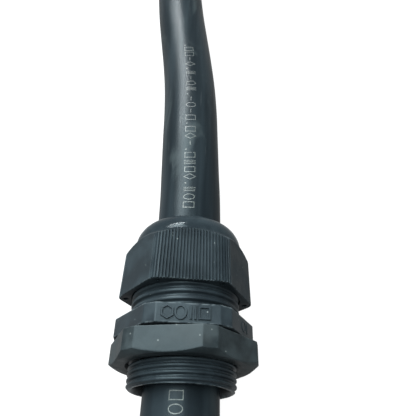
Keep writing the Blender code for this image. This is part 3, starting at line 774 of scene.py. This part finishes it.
def nut_columns():
    """(angle, radius) round the sealing nut: every other side ribbed, and every corner."""
    columns = []
    hub = NUT_SIDE_R - NUT_CORNER_ROUND
    half = hub * tan(radians(30))

    def add(outward, across, turn):
        columns.append((turn + atan2(across, outward), hypot(outward, across)))

    for side in range(6):
        turn = NUT_PHASE + radians(60 * side)
        ribs = RIBS_ON_SIDE * RIB_POINTS if side % 2 == 0 else 30
        for step in range(ribs):
            depth = RIB_DEPTH * rib_groove(step / RIB_POINTS % 1.0) if side % 2 == 0 else 0.0
            add(NUT_SIDE_R - depth, half * (2 * step / ribs - 1), turn)
        for step in range(RIBS_ON_CORNER * RIB_POINTS):
            part = step / RIB_POINTS
            swing = radians(60) * part / RIBS_ON_CORNER
            reach = NUT_CORNER_ROUND - RIB_DEPTH * rib_groove(part % 1.0)
            add(hub + reach * cos(swing), half + reach * sin(swing), turn)
    return columns


def make_sealing_nut(materials):
    columns = nut_columns()
    angles = [angle for angle, _ in columns]
    radii = [radius for _, radius in columns]
    draft = (NUT_SIDE_R - NUT_SHOULDER_R) / (NUT_SHOULDER - NUT_LOW) / NUT_SIDE_R

    def drawn_in(radius, along):
        return radius * (1 - draft * (along - NUT_LOW))

    corner_r = drawn_in(NUT_CORNER_ROUND + (NUT_SIDE_R - NUT_CORNER_ROUND) / cos(radians(30)),
                        NUT_CORNER_EDGE)
    slope = (NUT_SHOULDER - NUT_CORNER_EDGE) / (corner_r - NUT_SHOULDER_R)

    def cone(radius):
        return NUT_SHOULDER - (radius - NUT_SHOULDER_R) * slope

    def shoulder(radius):
        """Where the side that starts at this radius meets the chamfer."""
        lean = radius * draft
        along = (NUT_SHOULDER - (radius + lean * NUT_LOW - NUT_SHOULDER_R) * slope) / (1 - lean * slope)
        return drawn_in(radius, along), along

    def side_ring(inset, along, wear=0.0):
        return Ring([(r - inset, along) for r in radii], wear, 0.0)

    def thread_row(along):
        return Ring([(thread_radius(UPPER, a, along, GAP), along) for a in angles], 0.0, 0.4)

    rings = [round_ring(NUT_ENTRY_R, NUT_LOW, 0.3), side_ring(0.0009, NUT_LOW),
             side_ring(0.00022, NUT_LOW, 0.4), side_ring(0.00006, NUT_LOW + 0.00006, 0.7),
             side_ring(0.0, NUT_LOW + 0.00022, 0.4)]
    tops = [shoulder(r) for r in radii]
    for part in (0.02, 0.2, 0.4, 0.6, 0.8, 0.97):
        rows = [NUT_LOW + 0.0003 + (top - 0.0003 - NUT_LOW) * part for _, top in tops]
        rings.append(Ring([(drawn_in(r, along), along) for r, along in zip(radii, rows)]))
    rings.append(Ring([(r, top - 0.00012) for r, top in tops], 0.2, 0.1))
    rings.append(Ring([(r - 0.00004, top - 0.00003) for r, top in tops], 0.3, 0.3))
    rings.append(Ring([(r - 0.00018, cone(r - 0.00018)) for r, _ in tops], 0.2, 0.6))
    base = cone(DOME_BASE_R)
    foot = [DOME_BASE_R + (r - DOME_BASE_R) * 0.25 for r, _ in tops]
    rings.append(Ring([(r, cone(r)) for r in foot], 0.0, 1.0))
    rings.append(round_ring(DOME_BASE_R + 0.00005, base, 0.0, 1.0))
    for radius, along in quarter_oval((DOME_BASE_R - 0.00002, base + 0.00008), (LIP_R, DOME_TOP), 30)[:-1]:
        rings.append(round_ring(radius, along, 0.0, 1.0))
    rings += [round_ring(LIP_R + 0.0001, DOME_TOP, 0.3, 1.0),
              round_ring(LIP_R - 0.00015, DOME_TOP - 0.00004, 0.9, 0.9),
              round_ring(MOUTH_R + 0.00006, DOME_TOP - 0.00022, 0.4, 0.7)]
    inside = quarter_oval((NUT_CAVITY_R, 0.0262), (MOUTH_R, 0.0335), 10)[::-1]
    inside += [(NUT_CAVITY_R, 0.0212), (0.0165, 0.0206), (0.0165, 0.0177), (0.0156, 0.0172)]
    rings += [round_ring(radius, along, 0.0, 0.4) for radius, along in inside]
    rings += [thread_row(along) for along in stepped(0.0170, NUT_LOW + 0.0009, 0.00020)]
    nut = ring_solid("domed_sealing_nut", angles, rings, materials["nut"])

    bm = bmesh.new()
    for side in range(6):
        made = bmesh.ops.create_cone(bm, cap_ends=True, segments=32, radius1=NUT_HOLE_R, radius2=NUT_HOLE_R,
                                     depth=2 * NUT_HOLE_DEPTH, matrix=Matrix.Rotation(pi / 2, 4, "X"))
        centre = spot(NUT_PHASE + radians(30 + 60 * side), NUT_HOLE_AT, NUT_LOW)
        bmesh.ops.translate(bm, verts=made["verts"], vec=centre)
    return bore_out(nut, bm)


def bore_out(obj, cutter_mesh):
    """Takes the closed shapes in a bmesh out of an object, and keeps the result as its mesh."""
    mesh = bpy.data.meshes.new("cutter")
    cutter_mesh.to_mesh(mesh)
    cutter_mesh.free()
    cutter = bpy.data.objects.new("cutter", mesh)
    bpy.context.scene.collection.objects.link(cutter)
    step = obj.modifiers.new("bore", "BOOLEAN")
    step.operation = "DIFFERENCE"
    step.solver = "EXACT"
    step.use_self = True
    step.object = cutter
    bpy.context.view_layer.update()
    graph = bpy.context.evaluated_depsgraph_get()
    result = bpy.data.meshes.new_from_object(obj.evaluated_get(graph))
    obj.modifiers.clear()
    obj.data = result
    bpy.data.objects.remove(cutter)
    obj.data.set_sharp_from_angle(angle=radians(40))
    return obj


# ---- inner pieces ----
def make_o_ring(materials):
    angles = even_angles(160)
    rings = []
    for step in range(20):
        swing = tau * step / 20
        rings.append(round_ring(O_RING_R + O_RING_WIRE * cos(swing), O_RING_AT + O_RING_WIRE * sin(swing)))
    return ring_solid("seat_seal_ring", angles, rings, materials["seal"])


def make_claw(materials):
    """The fingered insert: a ring, a flange, and fingers that lean in under the dome."""
    angles = even_angles(240)
    flange = UPPER_TOP + GAP
    outer = quarter_oval((0.0153, 0.0262), (0.0104, 0.0331), 24)
    outer = [pair for pair in outer if pair[1] <= CLAW_TOP]
    tip_r, tip = outer[-1]
    outline = [(0.0131, CLAW_LOW + 0.0001), (0.0132, CLAW_LOW), (0.0138, CLAW_LOW),
               (0.0139, CLAW_LOW + 0.0001),
               (0.0139, 0.0120), (0.0139, 0.0160), (0.0139, flange), (0.0152, flange),
               (0.0153, flange + 0.0001), (0.0153, 0.0225)]
    outline += outer + [(tip_r - 0.0002, tip + 0.0001), (tip_r - 0.0008, tip + 0.0001)]
    outline += [(0.0131, 0.0245), (0.0131, 0.0200), (0.0131, 0.0140)]
    rings = [round_ring(radius, along) for radius, along in outline]
    claw = ring_solid("fingered_claw", angles, rings, materials["claw"])
    bm = bmesh.new()
    for finger in range(CLAW_FINGERS // 2):
        made = bmesh.ops.create_cube(bm, size=1.0)
        bmesh.ops.scale(bm, verts=made["verts"], vec=(0.040, 0.0150, 0.0010))
        bmesh.ops.rotate(bm, verts=made["verts"], matrix=Matrix.Rotation(
            pi * (finger + 0.5) / (CLAW_FINGERS // 2), 3, "Y"))
        bmesh.ops.translate(bm, verts=made["verts"], vec=spot(0.0, 0.0, flange + 0.0013 + 0.0075))
    return bore_out(claw, bm)


def make_sleeve(materials):
    angles = even_angles(160)
    outline = [(0.0108, 0.0296), (0.01095, 0.0299), (0.0113, SLEEVE_TOP), (0.0115, 0.0297), (0.0122, 0.0272),
               (0.0126, 0.0256), (0.0128, 0.0240), (0.0128, 0.0180), (0.0128, 0.0120), (0.0128, 0.0086),
               (0.0127, 0.0083), (0.0114, SLEEVE_LOW), (0.0109, 0.0084), (0.0108, 0.0088)]
    for ridge in range(6):
        middle = 0.0110 + 0.0030 * ridge
        outline += [(0.0108, middle - 0.0005), (0.01068, middle - 0.0002), (0.01068, middle + 0.0002),
                    (0.0108, middle + 0.0005)]
    rings = [round_ring(radius, along) for radius, along in outline]
    return ring_solid("neoprene_sleeve", angles, rings, materials["sleeve"])


# ---- the cable ----
def smooth_points(route, spacing):
    """Evenly spaced points on a Catmull-Rom curve through the route's points."""
    knots = [Vector(p) for p in route]
    knots = [2 * knots[0] - knots[1], *knots, 2 * knots[-1] - knots[-2]]
    fine = []
    for a, b, c, d in zip(knots, knots[1:], knots[2:], knots[3:]):
        for step in range(20):
            t = step / 20
            fine.append(0.5 * (2 * b + (c - a) * t + (2 * a - 5 * b + 4 * c - d) * t * t
                               + (3 * b - 3 * c + d - a) * t * t * t))
    fine.append(knots[-2])
    lengths = [(q - p).length for p, q in zip(fine, fine[1:])]
    count = max(2, round(sum(lengths) / spacing))
    out, walked, index = [fine[0]], 0.0, 0
    for k in range(1, count):
        target = sum(lengths) * k / count
        while walked + lengths[index] < target:
            walked += lengths[index]
            index += 1
        out.append(fine[index].lerp(fine[index + 1], (target - walked) / lengths[index]))
    out.append(fine[-1])
    return out


PATH_STEP = 0.001


class Path:
    """A cable's middle line, with a frame at each of its points."""

    def __init__(self, route):
        self.points = smooth_points(route, PATH_STEP)
        self.length = sum((b - a).length for a, b in zip(self.points, self.points[1:]))
        self.step = self.length / (len(self.points) - 1)

    def frame(self, distance):
        """The middle, the way along, the side towards +X and the upper side."""
        place = min(max(distance / self.step, 0.0), len(self.points) - 1.001)
        index = int(place)
        middle = self.points[index].lerp(self.points[index + 1], place - index)
        before = self.points[max(index - 2, 0)]
        ahead = self.points[min(index + 3, len(self.points) - 1)]
        onward = (ahead - before).normalized()
        right = Vector((abs(onward.y), -onward.x if onward.y > 0 else onward.x, 0.0)).normalized()
        upper = right.cross(onward) if onward.y > 0 else onward.cross(right)
        return middle, onward, right, upper.normalized()

    def spot(self, distance, angle, radius):
        middle, _, right, upper = self.frame(distance)
        return middle + (right * sin(angle) + upper * cos(angle)) * radius

    def end_matrix(self):
        """At the cable's cut end: local +Z runs out of it, and local +Y is up."""
        _, onward, _, upper = self.frame(self.length)
        across = upper.cross(onward)
        return Matrix.Translation(self.points[-1]) @ Matrix((across, upper, onward)).transposed().to_4x4()


def make_cable(side, path, material):
    """The sheath: a slightly uneven tube with rounded cut edges and a hollow at its end."""
    around = 112
    stations = stepped(0.0, path.length, PATH_STEP)
    rows = [(0.0, CABLE_R - 0.0004), (0.0, CABLE_R - 0.0001)]
    rows += [(station, CABLE_R) for station in stations[1:-1]]
    rows += [(path.length - 0.0002, CABLE_R), (path.length, CABLE_R - 0.0003), (path.length, TAPE_R + 0.0006),
             (path.length - 0.0002, TAPE_R + 0.0003), (path.length - 0.0030, TAPE_R + 0.0003)]
    points = []
    for station, radius in rows:
        for k in range(around):
            angle = tau * k / around
            dent = noise.noise(Vector((2.2 * sin(angle), station * 45, 2.2 * cos(angle) + 5)))
            points.append(path.spot(station, angle, radius + DENT_DEPTH * dent))
    faces = quad_rows(len(rows), around)
    for row in (0, len(rows) - 1):
        hub = len(points)
        station = rows[row][0]
        points.append(path.spot(station, 0.0, 0.0))
        faces += [(row * around + k, row * around + (k + 1) % around, hub) for k in range(around)]
    return finish_mesh(mesh_object(f"{side}_cable_sheath", points, faces), material)


def on_cable(path, start, angle, drift):
    """Lays print on the sheath. Marks run along the cable, and drift turns them slowly."""
    def lay(across, along, height):
        turn = angle + drift * max(0.0, along) - across / CABLE_R
        return path.spot(start + along, turn, CABLE_R + height)
    return lay


def make_print(side, path, start, end, angle, drift, material):
    """A row of plain marks, in groups: boxes, rings, bars, diamonds, dashes and dots."""
    section = [(-1, -0.00008), (-1, 0.000025), (1, 0.000025), (1, -0.00008)]
    order = Random(25)
    strokes = []
    place = 0.0012
    tall = 0.00195
    while place < end - start:
        for _ in range(order.choice((2, 3, 4))):
            kind = order.choice(("box", "ring", "bars", "diamond", "dash"))
            if kind == "box":
                strokes.append((polygon_line(0.0, place, tall * 1.25, 0.00105 * 1.41, 4, pi / 4), True))
            elif kind == "ring":
                strokes.append((ring_line(0.0, place, tall * 0.9, 0.00105), True))
            elif kind == "diamond":
                strokes.append((polygon_line(0.0, place, tall, 0.00115, 4), True))
            elif kind == "bars":
                for shift in (-0.0007, 0.0, 0.0007):
                    strokes.append(([(tall * (k / 3 - 1), place + shift) for k in range(7)], False))
            else:
                strokes.append(([(0.0, place - 0.0009 + 0.00045 * k) for k in range(5)], False))
            place += 0.0031
        strokes.append((ring_line(0.0014, place - 0.0006, 0.00018, 0.00018, 10), True))
        place += 0.0022
    return line_work(f"{side}_cable_print", strokes, 0.00024, section,
                     on_cable(path, start, angle, drift), material)


def turned_at(name, matrix, outline, steps, material, shift=(0.0, 0.0)):
    """A solid turned about local Z at the cable's end. Outline holds (radius, height),
    and a radius of 0 at both of its ends closes it on the axis."""
    points, faces, rows = [], [], []
    for radius, height in outline:
        if radius == 0:
            rows.append([len(points)] * steps)
            points.append(matrix @ Vector((shift[0], shift[1], height)))
            continue
        rows.append(list(range(len(points), len(points) + steps)))
        for k in range(steps):
            angle = tau * k / steps
            points.append(matrix @ Vector((shift[0] + radius * cos(angle), shift[1] + radius * sin(angle),
                                           height)))
    hollow = outline[0][0] > 0
    pairs = list(zip(rows, rows[1:])) + ([(rows[-1], rows[0])] if hollow else [])
    for low, high in pairs:
        for k in range(steps):
            other = (k + 1) % steps
            corners = [low[k], low[other], high[other], high[k]]
            face = [c for i, c in enumerate(corners) if c not in corners[:i]]
            faces.append(tuple(face))
    return finish_mesh(mesh_object(name, points, faces), material)


def strands(name, matrix, height, material, shift):
    """Nineteen twisted wires in two layers round a middle one, each a closed tube."""
    wire = WIRE_R / 5
    around, rows = 10, 14
    points, faces = [], []
    layers = [(0, 1), (2 * wire, 6), (4 * wire * 0.985, 12)]
    order = Random(19)
    for reach, many in layers:
        for number in range(many):
            start = tau * number / many
            top = WIRE_LENGTH + order.uniform(-0.0003, 0.0003)
            first = len(points)
            for row in range(rows + 1):
                rise = top * row / rows
                turn = start + rise / 0.030 * tau
                middle = Vector((shift[0] + reach * cos(turn), shift[1] + reach * sin(turn), height + rise))
                for k in range(around):
                    swing = tau * k / around
                    points.append(matrix @ (middle + Vector((wire * cos(swing), wire * sin(swing), 0))))
            faces += quad_rows(rows + 1, around, first=first)
            faces.append(tuple(range(first, first + around)))
            faces.append(tuple(range(first + rows * around, first + (rows + 1) * around)))
    return finish_mesh(mesh_object(name, points, faces), material)


def make_cable_end(side, path, materials):
    """What the cut sheath shows: filling, cotton tape, two cores and their strands."""
    matrix = path.end_matrix()
    filler = turned_at(f"{side}_filler_plug", matrix, [
        (0, -0.0028), (FILLER_R, -0.0028), (FILLER_R, 0.0029), (FILLER_R - 0.0003, 0.0034),
        (FILLER_R - 0.0016, 0.0036), (0, 0.0034)], 64, materials["filler"])
    wrap = turned_at(f"{side}_tape_wrap", matrix, [
        (TAPE_R - 0.0001, -0.0028), (TAPE_R, -0.0026), (TAPE_R, 0.0022), (TAPE_R - 0.0001, 0.0025),
        (FILLER_R + 0.00015, 0.0024), (FILLER_R + 0.00012, 0.0010), (FILLER_R + 0.00012, -0.0028)],
        96, materials["tape"])
    made = [(filler, f"{side}_filler", "cable_filler"), (wrap, f"{side}_binder_tape", "binder_tape")]
    for number, (colour, way) in enumerate((("black", -1), ("white", 1)), 1):
        shift = (way * CORE_OFFSET, 0.0)
        edge = 0.0003
        core = turned_at(f"{side}_{colour}_core", matrix, [
            (0, 0.0030), (CORE_R, 0.0030), (CORE_R, CORE_LENGTH / 2), (CORE_R, CORE_LENGTH - edge),
            (CORE_R - edge * 0.3, CORE_LENGTH - edge * 0.3), (CORE_R - edge, CORE_LENGTH),
            (WIRE_R + 0.00005, CORE_LENGTH), (0, CORE_LENGTH - 0.0001)], 48,
            materials[f"core_{colour}"], shift)
        wire = strands(f"{side}_strands_{number}", matrix, CORE_LENGTH - 0.0002, materials["copper"], shift)
        made += [(core, f"{side}_core_{colour}", f"core_{colour}"),
                 (wire, f"{side}_conductor_{number}", "copper")]
    for piece, node, slot in made:
        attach(piece, BODY)
        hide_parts(node)
    return [piece for piece, _, _ in made]


def make_cables(materials):
    plans = [
        ("outer", OUTER_ROUTE, SEAT.y + DOME_TOP, radians(7.0), 0.9, 0.0275, 0.1080),
        ("inner", INNER_ROUTE, SEAT.y + ENTRY_END, radians(3.5), 0.0, 0.0260, 0.1180),
    ]
    for side, route, exit_y, angle, drift, start, end in plans:
        path = Path(route)
        cable = make_cable(side, path, materials["sheath"])
        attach(cable, BODY)
        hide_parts(f"cable_{side}")
        printed = make_print(side, path, start, end, angle, drift, materials["ink"])
        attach(printed, BODY)
        ends = make_cable_end(side, path, materials)
        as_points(path.points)


# ---- the studio ----
def make_studio():
    """A pale floor, a pale surround and four soft lights. The floor gives off light, and
    less of it where the object mirrors it."""
    mesh = bpy.data.meshes.new("floor")
    reach = 3.0
    mesh.from_pydata([(-reach, -reach, 0), (reach, -reach, 0), (reach, reach, 0), (-reach, reach, 0)], [],
                     [(0, 1, 2, 3)])
    floor = bpy.data.objects.new("floor", mesh)
    bpy.context.scene.collection.objects.link(floor)
    made, tree, shader = new_material("pale_floor", 0.75)
    grain = cloud(tree, surface_place(tree), 6.0, 2.0)
    feed(shader, "Base Color", blend_colour(tree, grain, (0.046, 0.046, 0.046), (0.054, 0.054, 0.054)))
    shader.inputs["Specular IOR Level"].default_value = 0.0
    shader.inputs["Emission Color"].default_value = (1.0, 1.0, 1.0, 1.0)
    seen = add_node(tree, "LightPath", {}).outputs["Is Camera Ray"]
    feed(shader, "Emission Strength", between(tree, seen, 0.0, 1.0, 0.34, 0.97))
    mesh.materials.append(made)

    world = bpy.data.worlds.new("surround")
    world.use_nodes = True
    back = world.node_tree.nodes["Background"]
    back.inputs["Color"].default_value = (0.86, 0.94, 1.0, 1.0)
    sky = world.node_tree
    way = add_node(sky, "TexCoord", {}).outputs["Generated"]
    height = add_node(sky, "SeparateXYZ", {"Vector": way}).outputs["Z"]
    sky.links.new(between(sky, height, 0.05, 0.45, 0.52, 0.28), back.inputs["Strength"])
    bpy.context.scene.world = world

    cool = (0.86, 0.97, 1.0)
    add_light("key", (-0.130, 0.260, 0.850), (0.60, 1.05), 41.0, cool)
    add_light("front_fill", (0.45, -0.75, 0.80), (1.00, 0.80), 8.0, cool)
    add_light("strip_high", (-0.230, 0.650, 0.510), (0.40, 0.022), 9.5)
    add_light("strip_low", (-0.240, 0.545, 0.620), (0.34, 0.016), 4.2)


def add_light(name, offset, size, power, colour=(1.0, 1.0, 1.0)):
    data = bpy.data.lights.new(name, "AREA")
    data.shape = "RECTANGLE"
    data.size, data.size_y = size
    data.energy = power
    data.color = colour
    lamp = bpy.data.objects.new(name, data)
    bpy.context.scene.collection.objects.link(lamp)
    lamp.location = SEAT + Vector(offset)
    lamp.rotation_euler = Vector(offset).to_track_quat("Z", "Y").to_euler()


# ---- the scene ----
bpy.context.scene.view_settings.view_transform = "Standard"
make_camera()
make_studio()
looks = make_materials()
make_cables(looks)

for piece, body, node, slot in (
        (make_body(looks), BODY, "gland_body", "body_nylon"),
        (make_lock_nut(looks), "lock_nut", "lock_nut", "lock_nut_nylon"),
        (make_sealing_nut(looks), "sealing_nut", "sealing_nut", "sealing_nut_nylon"),
        (make_o_ring(looks), "seat_ring", "seat_o_ring", "seal_rubber"),
        (make_claw(looks), "claw_and_sleeve", "clamping_claw", "claw_nylon"),
        (make_sleeve(looks), "claw_and_sleeve", "sealing_sleeve", "seal_rubber")):
    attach(piece, body)
    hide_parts(node)
for piece in make_collar_marks(looks):
    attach(piece, BODY)
